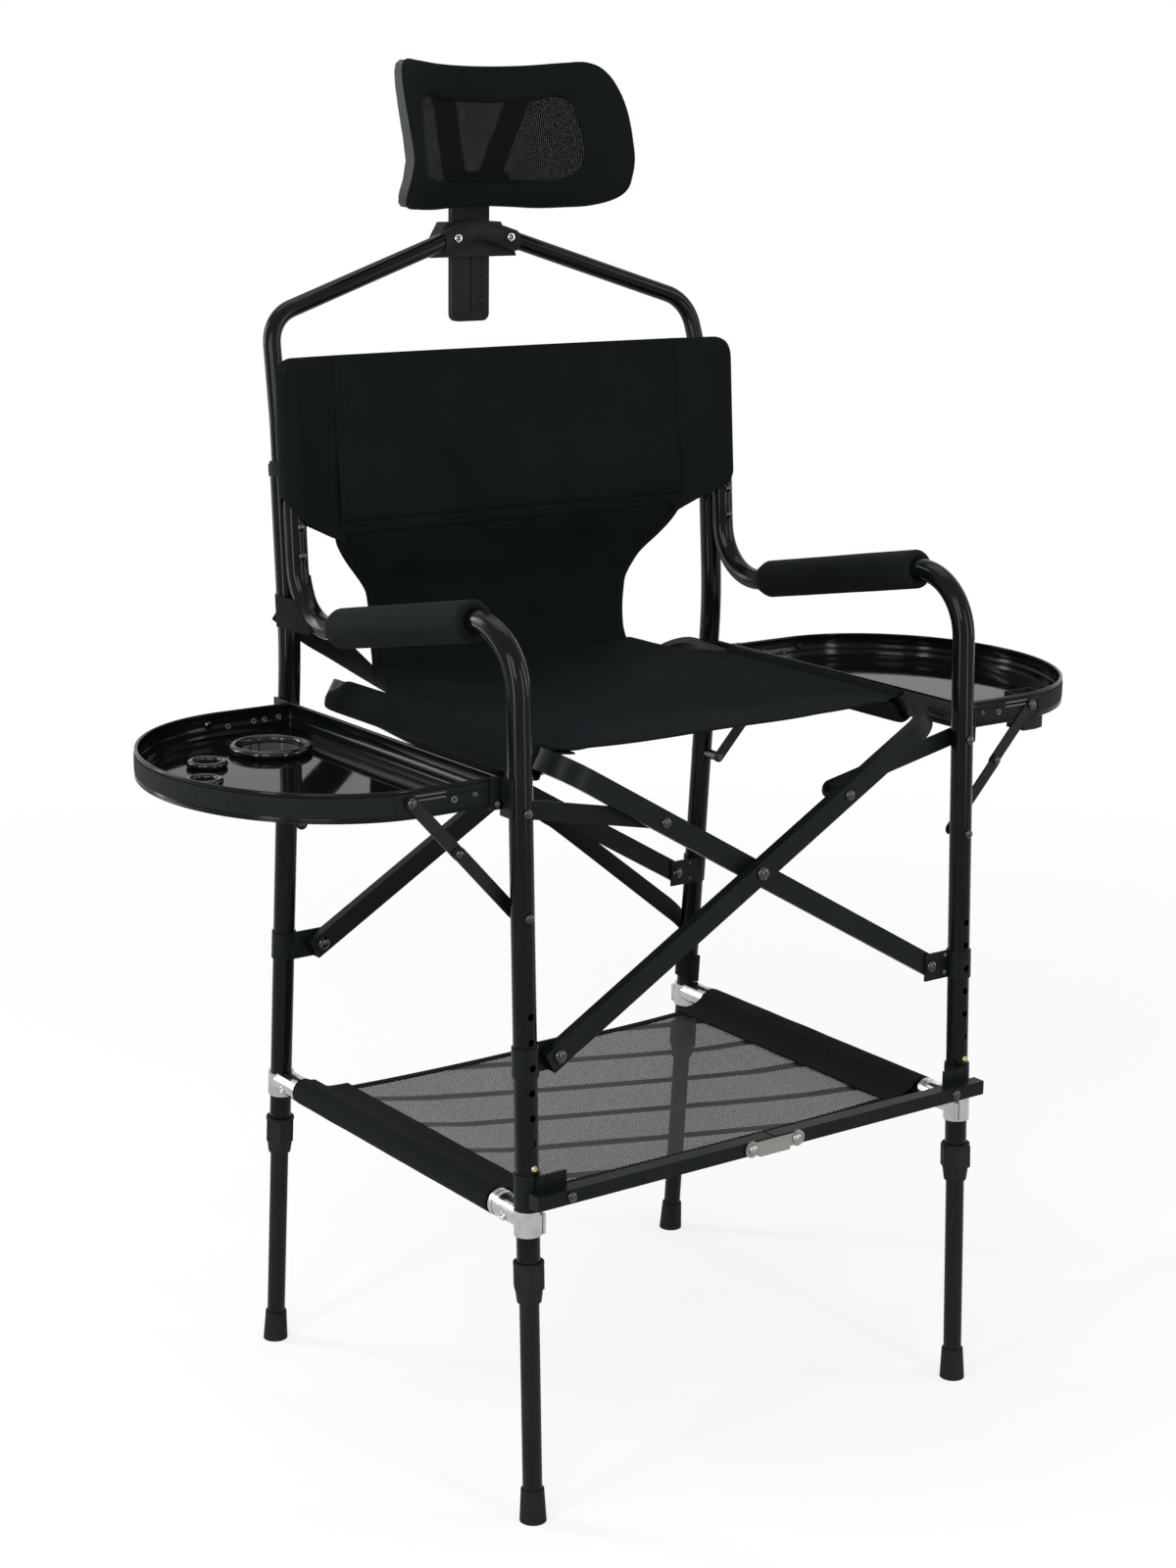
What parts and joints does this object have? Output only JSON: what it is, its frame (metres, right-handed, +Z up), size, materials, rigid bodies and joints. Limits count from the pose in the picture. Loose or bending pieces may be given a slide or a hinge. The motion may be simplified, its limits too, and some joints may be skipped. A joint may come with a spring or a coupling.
{
  "type": "folding makeup chair",
  "caption": "Tall folding director style chair with cloth seat and back, padded arms, folding side trays, a low net shelf, telescopic legs and a tilting headrest on a plug-in hoop.",
  "frame": {"origin": "on the floor, under the middle of the chair's own box", "axes": "+X across the chair to the side of the tray with the pocket, -Y the way the sitter faces, +Z up"},
  "size_m": [1.176, 0.6167, 1.502],
  "materials": {
    "black_tube": "semi-gloss black powder coat",
    "charcoal_tube": "satin charcoal paint",
    "bracket_black": "satin black paint",
    "foam": "matt black closed-cell foam",
    "clamp_chrome": "bright chrome",
    "fixing_steel": "bright steel",
    "bar_black": "semi-gloss black",
    "plate_steel": "satin steel",
    "foot_rubber": "matt rubber",
    "collar_plastic": "moulded, matt",
    "button_brass": "plain brass",
    "tray_top": "glossy, reflects what stands on it",
    "tray_band": "fine grain with smooth edges",
    "tray_fittings": "smooth black",
    "stay_metal": "satin grey-black",
    "headrest_plastic": "moulded, satin",
    "net": "elastic net",
    "cloth": "dense plain weave",
    "shelf_net": "open coated net",
    "webbing": "flat webbing"
  },
  "bodies": {
    "left_frame": {"left_arm_tube": "black_tube", "left_rear_post": "black_tube", "left_post_collar": "collar_plastic", "left_arm_pad": "foam", "left_brackets": "bracket_black", "left_shelf_clamps": "clamp_chrome", "left_shelf_tube": "charcoal_tube", "left_rivets": "fixing_steel", "back_cloth": "cloth", "shelf_cloth": "shelf_net", "carry_strap": "webbing"},
    "right_frame": {"right_arm_tube": "black_tube", "right_rear_post": "black_tube", "right_post_collar": "collar_plastic", "right_arm_pad": "foam", "right_brackets": "bracket_black", "right_shelf_clamps": "clamp_chrome", "right_shelf_tube": "charcoal_tube", "right_rivets": "fixing_steel"},
    "seat_frame_right": {"right_seat_frame": "bracket_black", "cross_bolts": "fixing_steel", "seat_cloth": "cloth"},
    "seat_frame_left": {"left_seat_frame": "bracket_black"},
    "guide_left": {"left_guide_link": "bracket_black"},
    "guide_right": {"right_guide_link": "bracket_black"},
    "bar_left": {"left_bar": "bar_black"},
    "bar_centre": {"bar_latch": "plate_steel"},
    "bar_right": {"right_bar": "bar_black"},
    "headrest_hoop": {"hoop": "black_tube", "hoop_clamp": "headrest_plastic"},
    "headrest_stem": {"head_stem": "headrest_plastic"},
    "headrest": {"head_yoke": "headrest_plastic", "head_frame": "headrest_plastic", "head_net": "net"},
    "tray_left": {"left_tray_floor": "tray_top", "left_tray_wall": "tray_band", "left_tray_rings": "tray_fittings"},
    "tray_right": {"right_tray_floor": "tray_top", "right_tray_wall": "tray_band", "right_tray_pocket": "tray_fittings"},
    "stay_upper_left": {"left_upper_stays": "stay_metal"},
    "stay_lower_left": {"left_lower_stays": "stay_metal"},
    "stay_upper_right": {"right_upper_stays": "stay_metal"},
    "stay_lower_right": {"right_lower_stays": "stay_metal"},
    "leg_front_left": {"front_left_leg": "charcoal_tube", "front_left_foot": "foot_rubber"},
    "button_front_left": {"front_left_button": "button_brass"},
    "collar_front_left": {"front_left_collar": "collar_plastic"},
    "leg_front_right": {"front_right_leg": "charcoal_tube", "front_right_foot": "foot_rubber"},
    "button_front_right": {"front_right_button": "button_brass"},
    "collar_front_right": {"front_right_collar": "collar_plastic"},
    "leg_rear_left": {"rear_left_leg": "charcoal_tube", "rear_left_foot": "foot_rubber"},
    "button_rear_left": {"rear_left_button": "button_brass"},
    "collar_rear_left": {"rear_left_collar": "collar_plastic"},
    "leg_rear_right": {"rear_right_leg": "charcoal_tube", "rear_right_foot": "foot_rubber"},
    "button_rear_right": {"rear_right_button": "button_brass"},
    "collar_rear_right": {"rear_right_collar": "collar_plastic"}
  },
  "joints": [
    {"name": "fold", "type": "hinge", "parent": "left_frame", "child": "seat_frame_right", "pos_m": [-0.264, -0.01089, 0.5073], "axis": [0, -1, 0], "range_deg": [0, 45.8], "deforming": ["seat_cloth", "back_cloth", "shelf_cloth", "carry_strap"]},
    {"name": "seat_crossing", "type": "hinge", "parent": "seat_frame_right", "child": "seat_frame_left", "pos_m": [0, -0.01089, 0.66095], "axis": [0, -1, 0], "range_deg": [-91.65, 0]},
    {"name": "right_frame_pivot", "type": "hinge", "parent": "seat_frame_left", "child": "right_frame", "pos_m": [0.264, -0.01089, 0.5073], "axis": [0, -1, 0], "range_deg": [0, 45.85]},
    {"name": "guide_left_pivot", "type": "hinge", "parent": "left_frame", "child": "guide_left", "pos_m": [-0.302, -0.01089, 0.768], "axis": [0, -1, 0], "range_deg": [0, 76.92]},
    {"name": "guide_right_pivot", "type": "hinge", "parent": "right_frame", "child": "guide_right", "pos_m": [0.302, -0.01089, 0.768], "axis": [0, -1, 0], "range_deg": [-76.92, 0]},
    {"name": "bar_left_pivot", "type": "hinge", "parent": "left_frame", "child": "bar_left", "pos_m": [-0.2695, -0.01089, 0.3645], "axis": [0, -1, 0], "range_deg": [0, 78.24]},
    {"name": "bar_centre_left", "type": "hinge", "parent": "bar_left", "child": "bar_centre", "pos_m": [-0.0305, -0.01089, 0.3645], "axis": [0, -1, 0], "range_deg": [-78.24, 0]},
    {"name": "bar_centre_right", "type": "hinge", "parent": "bar_centre", "child": "bar_right", "pos_m": [0.0305, -0.01089, 0.3645], "axis": [0, -1, 0], "range_deg": [-78.24, 0]},
    {"name": "hoop_lift", "type": "slide", "parent": "left_frame", "child": "headrest_hoop", "axis": [0, 0.0748, 0.9972], "range_m": [0, 0.07]},
    {"name": "stem_height", "type": "slide", "parent": "headrest_hoop", "child": "headrest_stem", "axis": [0, 0, 1], "range_m": [0, 0.064]},
    {"name": "headrest_tilt", "type": "hinge", "parent": "headrest_stem", "child": "headrest", "pos_m": [0, 0.28911, 1.35], "axis": [1, 0, 0], "range_deg": [-15, 15]},
    {"name": "tray_left", "type": "hinge", "parent": "left_frame", "child": "tray_left", "pos_m": [-0.322, -0.01089, 0.776], "axis": [0, -1, 0], "range_deg": [0, 90]},
    {"name": "stay_upper_left", "type": "hinge", "parent": "tray_left", "child": "stay_upper_left", "pos_m": [-0.4226, -0.01089, 0.79], "axis": [0, -1, 0], "range_deg": [0, 39.16]},
    {"name": "stay_lower_left", "type": "hinge", "parent": "left_frame", "child": "stay_lower_left", "pos_m": [-0.302, -0.01089, 0.66], "axis": [0, -1, 0], "range_deg": [-29.34, 0]},
    {"name": "tray_right", "type": "hinge", "parent": "right_frame", "child": "tray_right", "pos_m": [0.322, -0.01089, 0.776], "axis": [0, 1, 0], "range_deg": [0, 90]},
    {"name": "stay_upper_right", "type": "hinge", "parent": "tray_right", "child": "stay_upper_right", "pos_m": [0.4226, -0.01089, 0.79], "axis": [0, 1, 0], "range_deg": [0, 39.16]},
    {"name": "stay_lower_right", "type": "hinge", "parent": "right_frame", "child": "stay_lower_right", "pos_m": [0.302, -0.01089, 0.66], "axis": [0, 1, 0], "range_deg": [-29.34, 0]},
    {"name": "leg_front_left", "type": "slide", "parent": "left_frame", "child": "leg_front_left", "axis": [0, 0.041, 0.9992], "range_m": [0, 0.162]},
    {"name": "button_front_left", "type": "slide", "parent": "leg_front_left", "child": "button_front_left", "axis": [0, 0.9992, -0.041], "range_m": [0, 0.0038], "stiffness_N_per_m": 1500, "springref_m": -0.002},
    {"name": "collar_front_left", "type": "hinge", "parent": "left_frame", "child": "collar_front_left", "pos_m": [-0.302, -0.27234, 0.272], "axis": [0, 0.041, 0.9992], "range_deg": [0, 180]},
    {"name": "leg_front_right", "type": "slide", "parent": "right_frame", "child": "leg_front_right", "axis": [0, 0.041, 0.9992], "range_m": [0, 0.162]},
    {"name": "button_front_right", "type": "slide", "parent": "leg_front_right", "child": "button_front_right", "axis": [0, 0.9992, -0.041], "range_m": [0, 0.0038], "stiffness_N_per_m": 1500, "springref_m": -0.002},
    {"name": "collar_front_right", "type": "hinge", "parent": "right_frame", "child": "collar_front_right", "pos_m": [0.302, -0.27234, 0.272], "axis": [0, 0.041, 0.9992], "range_deg": [0, 180]},
    {"name": "leg_rear_left", "type": "slide", "parent": "left_frame", "child": "leg_rear_left", "axis": [0, -0.0665, 0.9978], "range_m": [0, 0.162]},
    {"name": "button_rear_left", "type": "slide", "parent": "leg_rear_left", "child": "button_rear_left", "axis": [0, -0.9978, -0.0665], "range_m": [0, 0.0038], "stiffness_N_per_m": 1500, "springref_m": -0.002},
    {"name": "collar_rear_left", "type": "hinge", "parent": "left_frame", "child": "collar_rear_left", "pos_m": [-0.302, 0.24359, 0.272], "axis": [0, -0.0665, 0.9978], "range_deg": [0, 180]},
    {"name": "leg_rear_right", "type": "slide", "parent": "right_frame", "child": "leg_rear_right", "axis": [0, -0.0665, 0.9978], "range_m": [0, 0.162]},
    {"name": "button_rear_right", "type": "slide", "parent": "leg_rear_right", "child": "button_rear_right", "axis": [0, -0.9978, -0.0665], "range_m": [0, 0.0038], "stiffness_N_per_m": 1500, "springref_m": -0.002},
    {"name": "collar_rear_right", "type": "hinge", "parent": "right_frame", "child": "collar_rear_right", "pos_m": [0.302, 0.24359, 0.272], "axis": [0, -0.0665, 0.9978], "range_deg": [0, 180]}
  ],
  "couplings": [
    {"joint": "seat_crossing", "follows": "fold", "ratio": -2},
    {"joint": "right_frame_pivot", "follows": "fold", "ratio": 1},
    {"joint": "guide_left_pivot", "follows": "fold", "ratio": 1.6784},
    {"joint": "guide_right_pivot", "follows": "fold", "ratio": -1.6784},
    {"joint": "bar_left_pivot", "follows": "fold", "ratio": 1.7073},
    {"joint": "bar_centre_left", "follows": "fold", "ratio": -1.7073},
    {"joint": "bar_centre_right", "follows": "fold", "ratio": -1.7073},
    {"joint": "stay_upper_left", "follows": "tray_left", "ratio": 0.4346},
    {"joint": "stay_lower_left", "follows": "tray_left", "ratio": -0.3255},
    {"joint": "stay_upper_right", "follows": "tray_right", "ratio": 0.4346},
    {"joint": "stay_lower_right", "follows": "tray_right", "ratio": -0.3255}
  ]
}
